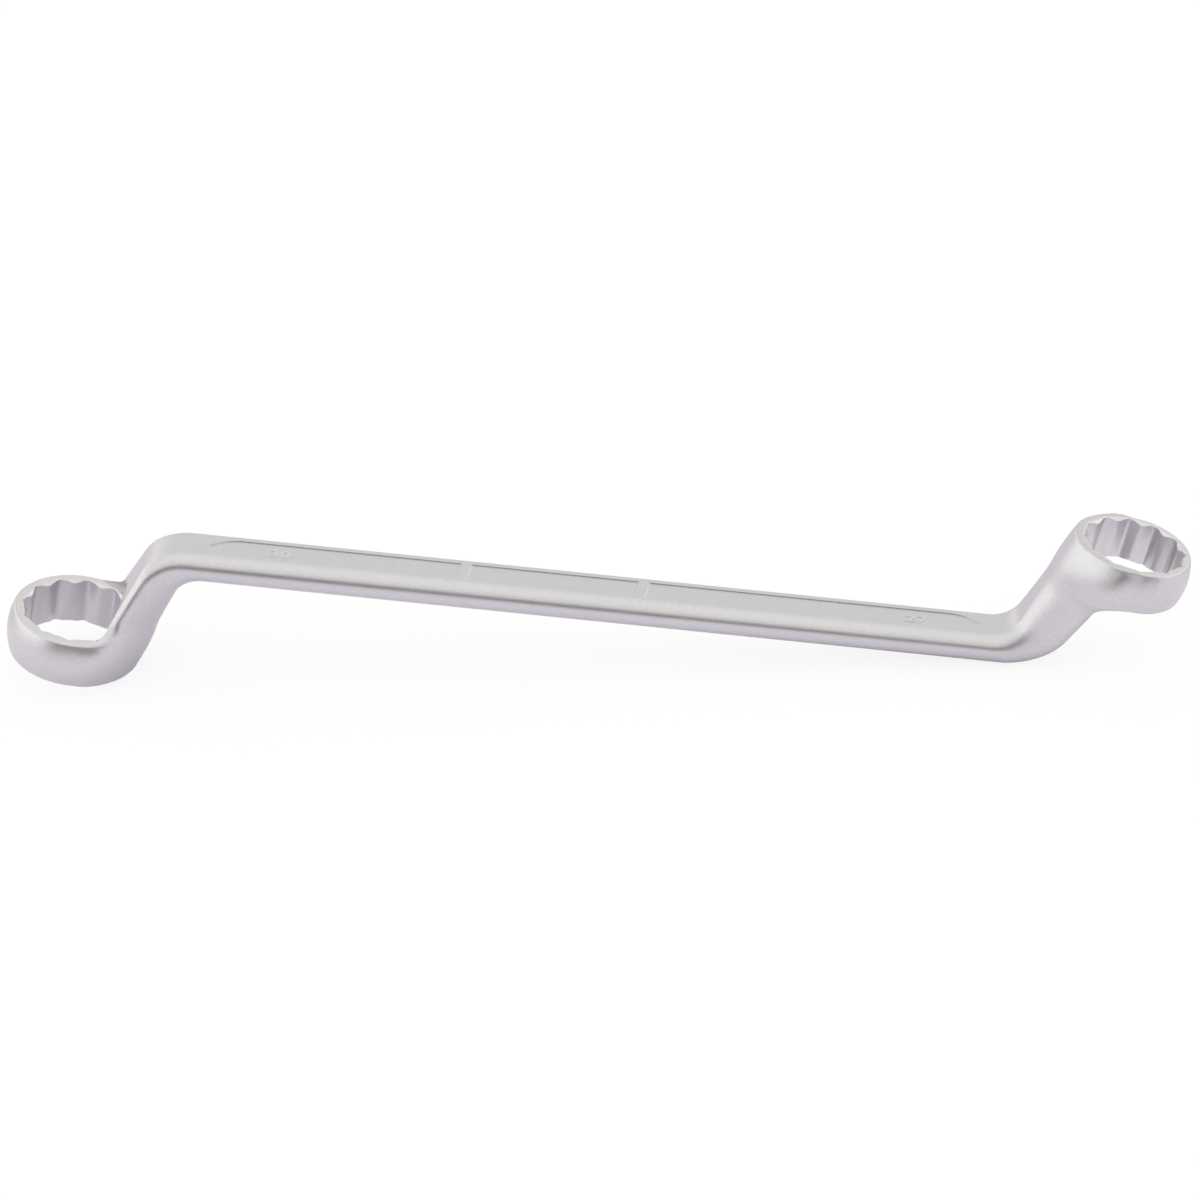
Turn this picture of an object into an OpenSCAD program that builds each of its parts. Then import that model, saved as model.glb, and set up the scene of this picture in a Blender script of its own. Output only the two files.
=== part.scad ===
// Double ended ring spanner with deep offset rings, one cranked up and one cranked down.
// It is one drop forging. Its regions are drawn as separate solids that meet face to face:
// the shank, and at each end a neck and a ring.
// Millimetres. Z is up, X runs along the spanner, and it stands the way it rests on a table.

/* [Sockets] */
// Across flats size of the small socket
small_af = 27; // [22:1:30]
// Across flats size of the large socket
large_af = 30; // [26:1:36]
// Depth taken off the twelve inner points of a socket
point_trim = 0.25; // [0.1:0.05:0.4]
// Depth of the lead-in chamfer at both mouths of a socket
mouth_chamfer = 0.5; // [0.3:0.1:0.8]

/* [Rings] */
// Wall of the small ring at the corners of its socket
small_wall = 2.5; // [2.3:0.1:4]
// Wall of the large ring at the corners of its socket
large_wall = 3.6; // [2.6:0.1:5]
// Height of the small ring along its axis
small_ring_h = 13.9; // [11:0.1:16]
// Height of the large ring along its axis
large_ring_h = 15.3; // [11:0.1:17]
// Rounding of the rings' outer edges
edge_round = 1.2; // [0.6:0.1:1.6]
// Radius of the barrel shape of the rings' outer walls, seen from the side
wall_round = 20; // [18:0.5:60]

/* [Layout] */
// Distance between the two ring axes, along the shank
ring_span = 312.9; // [290:0.1:350]
// Offset of each ring's middle from the shank's middle
ring_offset = 30.5; // [27:0.1:36]
// Tilt of both rings against the shank
ring_tilt = 5.7; // [2:0.1:9]

/* [Shank] */
// Width of the shank
shank_w = 18.6; // [16:0.1:20]
// Thickness of the shank
shank_t = 9.1; // [7:0.1:10]

/* [Necks] */
// Turn of the small neck's sides towards its ring, seen along the ring's axis
small_flare = 26; // [20:0.5:32]
// How round the small neck gets on the inner side of its bend
small_belly = 0.35; // [0.2:0.05:0.9]
// Slope of the small neck on the inner side of its bend
small_inner_slope = 67; // [62:0.1:70]
// Slope of the small neck on the outer side of its bend
small_outer_slope = 64; // [60:0.1:68]
// Radius of the small neck's inner bend
small_inner_bend = 9.3; // [8:0.1:15]
// Radius of the small neck's outer bend
small_outer_bend = 20.4; // [14:0.1:24]
// How far inside the small ring's wall its neck's inner side ends
small_root_in = 0.5; // [0.3:0.1:3]
// How far short of the small ring's axis its neck's outer side ends
small_root_out = 6.1; // [4:0.1:8]
// Turn of the large neck's sides towards its ring, seen along the ring's axis
large_flare = 31; // [24:0.5:36]
// How round the large neck gets on the inner side of its bend
large_belly = 0.75; // [0.2:0.05:0.9]
// Slope of the large neck on the inner side of its bend
large_inner_slope = 67.5; // [62:0.1:72]
// Slope of the large neck on the outer side of its bend
large_outer_slope = 63; // [58:0.1:72]
// Radius of the large neck's inner bend
large_inner_bend = 9.6; // [6:0.1:13]
// Radius of the large neck's outer bend
large_outer_bend = 16; // [10:0.1:22]
// How far inside the large ring's wall its neck's inner side ends
large_root_in = 1.8; // [0.6:0.1:3]
// How far short of the large ring's axis its neck's outer side ends
large_root_out = 8.8; // [5:0.1:11]
// How far inside the rings' walls the necks' sides end
flare_inset = 0.4; // [0.1:0.1:1]
// Where the necks are at their roundest, along them from their bends
belly_end = 24; // [20:0.5:30]
// Wall left between a socket's corners and the hollow in its neck
hollow_wall = 1.4; // [1:0.1:2]
// Taper of that hollow, from the ring's axis
hollow_taper = 31; // [20:0.5:40]

/* [Panels] */
// Width of the sunken panels on the upper face
panel_w = 8.4; // [6:0.1:8.8]
// Depth of the sunken panels
panel_depth = 0.3; // [0.2:0.05:0.5]
// Distance from the shank's middle to the panels' points
panel_reach = 116.7; // [100:0.1:120]
// Least distance from the panels' points to the ends of the straight shank
panel_margin = 0.2; // [0.2:0.1:4]
// Length of the panels' pointed tips
panel_tip = 10; // [6:0.5:14]
// Width of the two lands that part the panels
land_w = 3; // [2:0.1:5]
// Place of the land on the large ring's side, from the shank's middle
land_large_at = -40.2; // [-50:0.1:-25]
// Place of the land on the small ring's side, from the shank's middle
land_small_at = 13.6; // [5:0.1:30]
// Slant of the lands against the shank's width
land_slant = 9; // [0:0.5:15]

/* [Hidden] */
$fn = 96;
steel = "#c4c4c6";
// Overlap that makes a cut run clear of the face it opens
cut = 1;
// Share of the shank's half thickness that rounds a neck's outer corners
side_round = 0.97;
// Steps of a neck's bend, of the straight stretch after it, and of each rounded corner
bend_steps = 14;
reach_steps = 6;
corner_steps = 8;

// The two ends, each as sizes in its own frame: the shank runs along X and its ring lies at +X and up
SMALL = 0;
LARGE = 1;
af = [small_af, large_af];
ring_h = [small_ring_h, large_ring_h];
corner_r = [for (a = af) a / sqrt(3)];
point_r = [for (a = af) a / 2 / cos(15) + point_trim];
ring_r = [corner_r[SMALL] + small_wall, corner_r[LARGE] + large_wall];
hollow_r = [for (r = corner_r) r + hollow_wall];
// Middle of a ring's edge rounding, which runs into its face and its barrel shaped wall
edge_z = [for (h = ring_h) h / 2 - edge_round];
edge_r = [for (e = [SMALL, LARGE])
    ring_r[e] - wall_round + sqrt(pow(wall_round - edge_round, 2) - pow(edge_z[e], 2))];
flare = [small_flare, large_flare];
belly_share = [small_belly, large_belly];
inner_slope = [small_inner_slope, large_inner_slope];
outer_slope = [small_outer_slope, large_outer_slope];
inner_bend = [small_inner_bend, large_inner_bend];
outer_bend = [small_outer_bend, large_outer_bend];
root_in = [small_root_in, large_root_in];
root_out = [small_root_out, large_root_out];

// Ring frame in the XZ plane: its middle, the direction across it and its axis
ring_at = [ring_span / 2, ring_offset];
across = [cos(ring_tilt), -sin(ring_tilt)];
axis = [sin(ring_tilt), cos(ring_tilt)];
function in_ring(x, z) = ring_at + x * across + z * axis;

// Where a neck's side, drawn back from its ring at its slope, meets the shank's face at this level
function bend_corner(from, slope, level) = from[0] - (from[1] - level) / tan(slope);
inner_corner = [for (e = [SMALL, LARGE])
    bend_corner(in_ring(root_in[e] - ring_r[e], ring_h[e] / 2), inner_slope[e], shank_t / 2)];
outer_corner = [for (e = [SMALL, LARGE])
    bend_corner(in_ring(-root_out[e], -ring_h[e] / 2), outer_slope[e], -shank_t / 2)];
function bend_start(corner, slope, bend) = corner - bend * tan(slope / 2);
inner_start = [for (e = [SMALL, LARGE]) bend_start(inner_corner[e], inner_slope[e], inner_bend[e])];
outer_start = [for (e = [SMALL, LARGE]) bend_start(outer_corner[e], outer_slope[e], outer_bend[e])];
shank_end = [for (e = [SMALL, LARGE]) min(inner_start[e], outer_start[e])];

// Length along a sloped side, from its corner, to where it lies this high in the ring
function reach(corner, slope, level, height) =
    (height - ([corner, level] - ring_at) * axis) / ([cos(slope), sin(slope)] * axis);

// One side of a neck in the XZ plane: straight along the shank, round the bend and up the slope
function side_line(from, level, corner, slope, bend, far) = concat(
    [[from, level]],
    [for (i = [0 : bend_steps])
        let (a = slope * i / bend_steps)
        [bend_start(corner, slope, bend) + bend * sin(a), level + bend * (1 - cos(a))]],
    [for (i = [1 : reach_steps])
        let (near = bend * tan(slope / 2), l = near + (far - near) * i / reach_steps)
        [corner + l * cos(slope), level + l * sin(slope)]]);
function inner_side(e) = side_line(shank_end[e] - cut, shank_t / 2, inner_corner[e], inner_slope[e],
    inner_bend[e], reach(inner_corner[e], inner_slope[e], shank_t / 2, ring_h[e] / 2 - edge_round));
function outer_side(e) = side_line(shank_end[e] - cut, -shank_t / 2, outer_corner[e], outer_slope[e],
    outer_bend[e], reach(outer_corner[e], outer_slope[e], -shank_t / 2, cut - ring_h[e] / 2));

// Half of a neck's width at this point: the shank's, then that of planes that run on to the ring's wall
function half_width(e, at) =
    let (away = at - ring_at,
         height = min(max(away * axis, -edge_z[e]), 0),
         wall = ring_r[e] - wall_round + sqrt(wall_round * wall_round - height * height) - flare_inset)
    max(shank_w / 2, (wall + away * across * sin(flare[e])) / cos(flare[e]));

// Share of a neck's width that is rounded on its inner side, at this point of its middle line
function belly(e, at) =
    let (slope = (inner_slope[e] + outer_slope[e]) / 2,
         along = (at[0] - (inner_corner[e] + outer_corner[e]) / 2) * cos(slope) + at[1] * sin(slope),
         q = min(max(along / belly_end, 0), 1))
    belly_share[e] * q * q * (3 - 2 * q);

// Outline of a neck across its length. Its outer corners are rounded like the shank's, and its inner
// corners get rounder towards the ring
function section(e, middle, half) =
    let (half_t = norm(half),
         ridge = side_round * shank_t / 2,
         soft = ridge + (half_width(e, middle) - ridge) * belly(e, middle))
    [for (q = [0 : 3], i = [0 : corner_steps])
        let (a = 90 * (q + i / corner_steps),
             wide = q < 2 ? soft : ridge,
             deep = q < 2 ? 2 * half_t - ridge : ridge,
             at = middle + (ridge - half_t + deep * sin(a)) * half / half_t,
             out = half_width(e, at) - wide * (1 - abs(cos(a))))
        [at[0], q == 0 || q == 3 ? out : -out, at[1]]];

// The stance on a table: the large ring's lower edge and the small end's outer bend touch it
edge_at = -ring_at + edge_r[LARGE] * across - edge_z[LARGE] * axis;
bend_at = [outer_start[SMALL], outer_bend[SMALL] - shank_t / 2];
between = bend_at - edge_at;
stance = atan2(between[1], between[0]) - asin((outer_bend[SMALL] - edge_round) / norm(between));
function stand(p) = [p[0] * cos(stance) + p[1] * sin(stance), p[1] * cos(stance) - p[0] * sin(stance)];
lean = ring_tilt + stance;
function half_length(e) = wall_round + (ring_r[e] - wall_round) * cos(lean);
shift_x = (half_length(LARGE) - half_length(SMALL)) / 2;
shift_z = edge_round - stand(edge_at)[1];

module in_stance() {
    translate([shift_x, 0, shift_z])
        rotate([0, stance, 0])
            children();
}

// Puts what is drawn in an end's own frame at that end of the spanner
module at_end(e) {
    in_stance()
        rotate([0, e == SMALL ? 0 : 180, 0])
            children();
}

module at_ring() {
    translate([ring_at[0], 0, ring_at[1]])
        rotate([0, ring_tilt, 0])
            children();
}

// A ring before its socket is cut, with a barrel shaped wall and rounded edges
module ring_blank(e) {
    wall_z = edge_z[e] * wall_round / (wall_round - edge_round);
    rotate_extrude()
        union() {
            translate([0, -ring_h[e] / 2])
                square([edge_r[e], ring_h[e]]);
            intersection() {
                translate([ring_r[e] - wall_round, 0])
                    circle(wall_round);
                translate([0, -wall_z])
                    square([ring_r[e] + cut, 2 * wall_z]);
            }
            for (side = [-1, 1])
                translate([edge_r[e], side * edge_z[e]])
                    circle(edge_round);
        }
}

// Twelve point outline: two hexagons, with their inner points trimmed
module socket_outline(e) {
    for (turn = [0, 30])
        rotate(turn)
            circle(corner_r[e], $fn = 6);
    circle(point_r[e]);
}

module ring(e) {
    h = ring_h[e];
    at_end(e)
        at_ring()
            difference() {
                ring_blank(e);
                translate([0, 0, -h / 2 - cut])
                    linear_extrude(h + 2 * cut)
                        socket_outline(e);
                for (turn = [0, 180])
                    rotate([turn, 0, 0])
                        translate([0, 0, h / 2 - mouth_chamfer])
                            cylinder(mouth_chamfer + cut, point_r[e], point_r[e] + mouth_chamfer + cut);
            }
}

// Solid skinned over a neck's sections, from the end of the shank into its ring
module neck_blank(e) {
    inner = inner_side(e);
    outer = outer_side(e);
    last = len(inner) - 1;
    around = 4 * (corner_steps + 1);
    points = [for (i = [0 : last])
        each section(e, (inner[i] + outer[i]) / 2, (inner[i] - outer[i]) / 2)];
    skin = [for (i = [0 : last - 1], j = [0 : around - 1])
        let (a = i * around + j, b = i * around + (j + 1) % around)
        each [[a, a + around, b + around], [a, b + around, b]]];
    near_cap = [for (j = [1 : around - 2]) [0, j, j + 1]];
    far_cap = [for (j = [1 : around - 2]) [last * around, last * around + j + 1, last * around + j]];
    polyhedron(points, concat(near_cap, skin, far_cap));
}

// A neck ends on its ring's wall, and is hollowed round the socket's axis so that a bolt goes through
module neck(e) {
    depth = hollow_r[e] / tan(hollow_taper);
    at_end(e)
        difference() {
            neck_blank(e);
            translate([shank_end[e] - 2 * cut, -shank_w, -shank_w])
                cube([2 * cut, 2 * shank_w, 2 * shank_w]);
            at_ring() {
                ring_blank(e);
                translate([0, 0, -depth - ring_h[e] / 2])
                    cylinder(depth + cut, 0, hollow_r[e] + cut * tan(hollow_taper));
            }
        }
}

// The sunken panels' outline on the upper face: one long lens, parted by two slanted lands
module panels() {
    half_w = panel_w / 2;
    left = -min(panel_reach, shank_end[LARGE] - panel_margin);
    right = min(panel_reach, shank_end[SMALL] - panel_margin);
    tip_r = (panel_tip * panel_tip + half_w * half_w) / panel_w;
    difference() {
        union() {
            translate([left + panel_tip, -half_w])
                square([right - left - 2 * panel_tip, panel_w]);
            for (end = [left + panel_tip, right - panel_tip])
                intersection_for (side = [-1, 1])
                    translate([end, side * (tip_r - half_w)])
                        circle(tip_r);
        }
        for (at = [land_large_at, land_small_at])
            translate([at, 0])
                rotate(-land_slant)
                    square([land_w, 2 * panel_w], center = true);
    }
}

module shank() {
    round_at = (shank_w - shank_t) / 2;
    color(steel)
        in_stance()
            difference() {
                translate([-shank_end[LARGE], 0, 0])
                    rotate([90, 0, 90])
                        linear_extrude(shank_end[LARGE] + shank_end[SMALL])
                            union() {
                                square([2 * round_at, shank_t], center = true);
                                for (side = [-1, 1])
                                    translate([side * round_at, 0])
                                        circle(d = shank_t);
                            }
                translate([0, 0, shank_t / 2 - panel_depth])
                    linear_extrude(panel_depth + cut)
                        panels();
            }
}

module neck_small() {
    color(steel) neck(SMALL);
}

module neck_large() {
    color(steel) neck(LARGE);
}

module ring_small() {
    color(steel) ring(SMALL);
}

module ring_large() {
    color(steel) ring(LARGE);
}

shank();
neck_small();
neck_large();
ring_small();
ring_large();
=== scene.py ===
"""Ring spanner: a double ended, deep offset ring spanner in satin chrome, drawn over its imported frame."""

import math

import bmesh
import bpy
import numpy as np
from bpy.props import FloatProperty, FloatVectorProperty, PointerProperty
from bpy.types import Operator, Panel, PropertyGroup
from mathutils import Matrix, Vector


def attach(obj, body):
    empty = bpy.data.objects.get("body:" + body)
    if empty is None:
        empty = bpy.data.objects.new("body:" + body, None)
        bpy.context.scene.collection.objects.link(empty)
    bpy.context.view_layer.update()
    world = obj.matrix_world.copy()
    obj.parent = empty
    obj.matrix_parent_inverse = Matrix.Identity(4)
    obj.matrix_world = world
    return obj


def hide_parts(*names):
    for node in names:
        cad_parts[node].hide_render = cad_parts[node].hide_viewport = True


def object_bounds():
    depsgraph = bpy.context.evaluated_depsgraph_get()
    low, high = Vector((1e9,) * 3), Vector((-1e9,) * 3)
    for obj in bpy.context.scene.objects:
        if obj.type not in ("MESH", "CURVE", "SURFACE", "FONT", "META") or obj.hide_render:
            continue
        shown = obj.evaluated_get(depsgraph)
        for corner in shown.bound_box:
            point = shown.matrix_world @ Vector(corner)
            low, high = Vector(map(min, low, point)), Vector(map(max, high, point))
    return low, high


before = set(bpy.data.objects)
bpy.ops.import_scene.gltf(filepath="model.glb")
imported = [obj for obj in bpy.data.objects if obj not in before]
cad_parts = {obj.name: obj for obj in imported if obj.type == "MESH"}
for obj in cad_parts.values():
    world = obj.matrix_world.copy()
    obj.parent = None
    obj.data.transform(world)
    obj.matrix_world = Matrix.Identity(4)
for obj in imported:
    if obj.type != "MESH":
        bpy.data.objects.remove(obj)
CAD_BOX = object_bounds()

bl_info = {
    "name": "Ring Spanner",
    "version": (1, 0, 0),
    "blender": (4, 5, 0),
    "location": "View3D > Sidebar > Spanner",
    "description": "Builds a double ended ring spanner with offset rings in satin chrome",
    "category": "Object",
}

BODY = "root"
ENDS = ("small", "large")
PANELS = ("large", "middle", "small")
POINTS = 12
MM = 0.001

# Mesh counts. A ring has this many columns to each socket point, and a neck meets its ring along
# a window of so many columns and rows, which is also how many points go round a neck and the shank.
COLUMNS_PER_POINT = 16
COLUMNS = POINTS * COLUMNS_PER_POINT
WINDOW_COLUMNS = 68
WINDOW_FIRST = (COLUMNS - WINDOW_COLUMNS) // 2
WINDOW_LAST = WINDOW_FIRST + WINDOW_COLUMNS
WINDOW_WALL_ROWS = 10
WALL_ROWS = {"small": 10, "large": 12}
ROUND_ROWS = 7
WINDOW_ROWS = ROUND_ROWS + WINDOW_WALL_ROWS
SOCKET_ROWS = 8
MOUTH_ROWS = 3
FACE_ROWS = 4
BEND_STEPS = 60
BEND_SECTIONS = 34
ROOT_SECTIONS = 34
SHANK_SECTIONS = 78
TIP_POINTS = 16

# How much of its half thickness a bar's corners are rounded by.
ROUND_SHARE = 0.98

# How points and normals settle on the forging. Lengths are in millimetres, and SAME_WAY is a cosine.
ROOT_LEAD = 9
RELAX_STEPS = 40
RELAX_SHARE = 0.6
RELAX_FROM = 0.7
LEAST_RATE = 0.15
MOST_MOVE = 2
SAME_WAY = 0.8
WELD_GAP = 0.004


def number(name, description, default, **more):
    """A plain number."""
    return FloatProperty(name=name, description=description, default=default, **more)


def length(name, description, default):
    """A size in millimetres, held in metres."""
    return number(name, description, default * MM, unit="LENGTH", precision=5)


def angle(name, description, default):
    """An angle in degrees, held in radians."""
    return number(name, description, math.radians(default), unit="ROTATION")


def share(name, description, default):
    """A plain number from 0 to 1."""
    return number(name, description, default, min=0, max=1, subtype="FACTOR")


def colour(name, description, default):
    """A linear colour."""
    return FloatVectorProperty(
        name=name, description=description, default=default, size=3, min=0, max=1, subtype="COLOR"
    )


# Sizes that each end has: key, kind, description, and the values of the small and the large end.
END_SIZES = (
    ("across_flats", length, "Size of the {} socket", 27, 30),
    ("wall", length, "Wall of the {} ring at its socket's corners", 2.5, 3.6),
    ("height", length, "Height of the {} ring", 13.9, 15.3),
    ("inner_slope", angle, "Slope of the {} neck inside its bend", 67, 67.5),
    ("outer_slope", angle, "Slope of the {} neck outside its bend", 64, 63),
    ("inner_bend", length, "Radius of the {} neck's inner bend", 9.3, 9.6),
    ("outer_bend", length, "Radius of the {} neck's outer bend", 20.4, 16),
    ("root_in", length, "How far inside the {} ring's wall its neck's inner side ends", 0.5, 1.8),
    ("root_out", length, "How far short of the {} ring's axis its neck's outer side ends", 6.1, 8.8),
    ("flare", angle, "Turn of the {} neck's sides, seen along its ring's axis", 26, 31),
    ("belly", share, "How round the {} neck gets inside its bend", 0.8, 0.75),
    ("fullness", share, "How much fuller than an ellipse the {} neck's corners get there", 0.6, 0),
    ("crown", length, "Spread of the fillet on the far side of the {} ring", 3, 1),
    ("flank", length, "Depth ground off the {} ring's flanks", 0.35, 0),
    ("land_at", length, "Place along the shank of the land on the {} ring's side", 13.6, -40.2),
    ("mark_at", length, "Place along the shank of the {} ring's size number", 96.7, -95.5),
)


def with_end_sizes(group):
    """Gives a property group the sizes of both ends."""
    for key, kind, text, *values in END_SIZES:
        for name, value in zip(ENDS, values):
            label = f"{name}_{key}".replace("_", " ").capitalize()
            group.__annotations__[f"{name}_{key}"] = kind(label, text.format(name), value)
    return group


@with_end_sizes
class SpannerSizes(PropertyGroup):
    """Sizes of the forging."""

    ring_span: length("Ring span", "Distance between the ring axes, along the shank", 312.9)
    ring_offset: length("Ring offset", "Offset of each ring's middle from the shank's middle", 30.5)
    ring_tilt: angle("Ring tilt", "Tilt of both rings against the shank", 5.7)
    edge_round: length("Edge round", "Rounding of the rings' outer edges", 1.2)
    wall_round: length("Wall round", "Radius of the barrel shape of the rings' walls, seen from the side", 20)
    mouth_lead: length("Mouth lead", "Depth of the lead-in at the sockets' points", 0.9)
    mouth_least: length("Mouth least", "Depth of the lead-in at the sockets' corners", 0.3)
    mouth_most: share("Mouth most", "Greatest share of a ring's face that the lead-in takes", 0.7)
    point_round: length("Point round", "Spread of the rounding of the sockets' points and corners", 0.6)
    shank_width: length("Shank width", "Width of the shank", 18.6)
    shank_thick: length("Shank thickness", "Thickness of the shank", 9.1)

    flare_ease: length("Flare ease", "Length over which the necks start to widen", 3)
    belly_end: length("Belly end", "Where the necks are at their roundest, along them from their bends", 24)
    root_fillet: length("Root fillet", "Spread of the fillet on the shank's side of a ring", 7)
    ridge_round: length("Ridge round", "Spread of the rounding along a neck's hollow", 2)
    brim_gap: length("Brim gap", "How far short of its ring's outer face a neck ends", 0.2)
    brim_round: length("Brim round", "Spread of the rounding of that end", 1)
    hollow_wall: length("Hollow wall", "Wall between a socket's corners and the hollow in its neck", 1.4)
    hollow_taper: angle("Hollow taper", "Taper of that hollow, from the ring's axis", 31)
    flare_inset: length("Flare inset", "How far inside the rings' walls the necks' sides end", 0.4)

    panel_width: length("Panel width", "Width of the sunken panels", 8.4)
    panel_depth: length("Panel depth", "Depth of the sunken panels", 0.3)
    panel_reach: length("Panel reach", "From the shank's middle to the panels' points", 116.7)
    panel_margin: length("Panel margin", "Least distance from those points to the straight shank's ends", 0.2)
    panel_tip: length("Panel tip", "Length of the panels' pointed tips", 10)
    land_width: length("Land width", "Width of the lands that part the panels", 3)
    land_slant: angle("Land slant", "Slant of the lands against the shank's width", 9)
    panel_draft: angle("Panel draft", "Draft of the panels' walls", 20)
    land_draft: angle("Land draft", "Draft of the panels' ends at the lands", 55)

    mark_aside: length("Numbers aside", "Place of the size numbers across the shank", -0.8)
    mark_height: length("Number height", "Height of the size numbers", 3.6)
    mark_rise: length("Number rise", "How far the size numbers stand up from their panels", 0.22)
    mark_stretch: number("Number stretch", "Width of the size numbers against plain type", 1.35)
    mark_capital: share("Number capital", "Height of a number against its type's size", 0.7)


def plain_sizes(sizes):
    """The forging's sizes by name, in millimetres, radians or plain numbers."""
    own = {}
    for key, kind in sizes.bl_rna.properties.items():
        if kind.type == "FLOAT":
            own[key] = getattr(sizes, key) / (MM if kind.unit == "LENGTH" else 1)
    return own


class SpannerFinish(PropertyGroup):
    """Colours and gloss of the forging."""

    satin: colour("Satin chrome", "Colour of the blasted and plated skin", (0.62, 0.616, 0.63))
    socket: colour("Socket wall", "Colour of the broached socket walls", (0.70, 0.695, 0.715))
    face: colour("Milled face", "Colour of the milled faces and the size numbers", (0.68, 0.675, 0.675))
    satin_rough: share("Satin roughness", "Roughness of the satin skin", 0.34)
    grain_depth: length("Grain depth", "Depth of the satin skin's grain", 0.018)


class SpannerStage(PropertyGroup):
    """Camera, floor and light."""

    view_azimuth: angle("Azimuth", "Camera's turn round the spanner", 3.715)
    view_elevation: angle("Elevation", "Camera's height above the horizon", 31.65)
    view_roll: angle("Roll", "Camera's roll about its axis", -2.67)
    view_distance: length("Distance", "Camera's distance from its aim", 955.2)
    view_aim: FloatVectorProperty(
        name="Aim",
        description="Point that the camera looks at",
        default=(2.83 * MM, -0.2 * MM, 20.32 * MM),
        subtype="TRANSLATION",
        unit="LENGTH",
    )
    lens: number("Lens", "Focal length in mm", 95.1)
    sensor: number("Sensor", "Width of the camera's sensor in mm", 36)
    floor_half: length("Floor half", "Half the width of the floor", 6000)
    floor: colour("Floor", "Colour of the floor as the metal reflects it", (0.95, 0.925, 1.0))
    # Painted shade on the floor as the metal reflects it: darker in front of and behind the spanner.
    front_edge: length("Front edge", "Where the floor starts to darken, in front of the spanner", 50)
    front_end: length("Front end", "Where the floor is at its darkest, in front of the spanner", 400)
    front_level: share("Front level", "How bright the floor is there, as the metal reflects it", 0.35)
    back_edge: length("Back edge", "Where the floor starts to darken, behind the spanner", 10)
    back_end: length("Back end", "Where the floor is at its darkest, behind the spanner", 70)
    back_level: share("Back level", "How bright the floor is there, as the metal reflects it", 0.8)
    paper: colour("Paper", "Colour of the floor as the camera sees it", (1, 1, 1))
    paper_glow: share("Paper glow", "How much of that colour doesn't depend on the light", 0.85)
    light: colour("Light", "Colour of the studio's light", (1, 0.98, 0.96))
    level: number("Level", "Level of the studio's light", 1.0)
    top_gain: number("Top gain", "How much brighter the studio is overhead", 0.15)
    side_gain: number("Side gain", "How much brighter the studio's sides are", 0.5)
    side_right: share("Side right", "How much of that the right side has", 0.7)
    side_height: number("Side height", "Sine of the bright sides' elevation", 0.15)
    side_spread: number("Side spread", "Half width of the bright sides, as a sine", 0.35)
    far_loss: share("Far loss", "How much darker the studio is beyond the spanner", 0.06)
    dim_amount: share("Dim amount", "How much darker the studio is behind the camera", 1.0)
    dim_height: number("Dim height", "Sine of the dim stretch's elevation", 0.13)
    dim_spread: number("Dim spread", "Half width of the dim stretch, as a sine", 0.2)


# Materials


def sums(operation):
    """A sum of two wires or numbers as a method, and its reflected form."""

    def forward(self, other):
        return self.board.node("Math", {"operation": operation}, {0: self, 1: other})

    def reflected(self, other):
        return self.board.node("Math", {"operation": operation}, {0: other, 1: self})

    return forward, reflected


class Wire:
    """A socket on a board that takes part in Python sums."""

    __add__, __radd__ = sums("ADD")
    __sub__, __rsub__ = sums("SUBTRACT")
    __mul__, __rmul__ = sums("MULTIPLY")
    __truediv__, __rtruediv__ = sums("DIVIDE")
    __pow__, __rpow__ = sums("POWER")

    def __init__(self, board, socket):
        self.board = board
        self.socket = socket


class Board:
    """The node tree of one material or of the world."""

    def __init__(self, owner):
        owner.use_nodes = True
        self.tree = owner.node_tree
        self.tree.nodes.clear()

    def node(self, kind, settings=None, sockets=None, out=0):
        """Adds a shader node: its settings first, then the values or wires of its sockets."""
        node = self.tree.nodes.new("ShaderNode" + kind)
        for key, value in (settings or {}).items():
            setattr(node, key, value)
        for key, value in (sockets or {}).items():
            if isinstance(value, Wire):
                self.tree.links.new(value.socket, node.inputs[key])
            else:
                node.inputs[key].default_value = value
        return Wire(self, node.outputs[out]) if len(node.outputs) else None

    def noise(self, place, scale, detail=2, roughness=0.5):
        """Smooth noise of this scale."""
        sockets = {"Vector": place, "Scale": scale, "Detail": detail, "Roughness": roughness}
        return self.node("TexNoise", None, sockets, "Fac")

    def mix(self, amount, first, second):
        """Mixes two colours."""
        return self.node("Mix", {"data_type": "RGBA"}, {0: amount, 6: first, 7: second}, 2)

    def ramp(self, value, low, high):
        """Eases from 0 to 1 as the value goes from low to high."""
        sockets = {"Value": value, "From Min": low, "From Max": high}
        return self.node("MapRange", {"interpolation_type": "SMOOTHSTEP"}, sockets)

    def hump(self, value, middle, spread):
        """Rises to 1 where the value is at the middle, and falls off on both sides."""
        return math.e ** (-1 * ((value - middle) / spread) ** 2)

    def axes(self, place):
        """X, Y and Z of a place or a direction."""
        split = self.node("SeparateXYZ", None, {"Vector": place}).socket.node
        return [Wire(self, split.outputs[axis]) for axis in "XYZ"]

    def bump(self, height, distance):
        """Normals for a height of this depth in metres."""
        return self.node("Bump", None, {"Strength": 1.0, "Distance": distance, "Height": height})


def toned(value, factor):
    """A colour for a socket, made lighter or darker."""
    return tuple(min(c * factor, 1.0) for c in value) + (1.0,)


def varied(board, amount, value, spread):
    """A colour that gets lighter and darker by this spread."""
    return board.mix(amount, toned(value, 1 - spread), toned(value, 1 + spread))


def metal(name, wire_up):
    """A metal whose colour, roughness and normal come from wire_up. Noise scales are per metre."""
    if name in bpy.data.materials:
        return bpy.data.materials[name]
    material = bpy.data.materials.new(name)
    board = Board(material)
    place = board.node("TexCoord", None, None, "Object")
    tint, rough, normal = wire_up(board, place)
    sockets = {"Base Color": tint, "Roughness": rough, "Metallic": 1.0, "Normal": normal}
    shader = board.node("BsdfPrincipled", None, sockets)
    board.node("OutputMaterial", None, {"Surface": shader})
    return material


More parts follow.
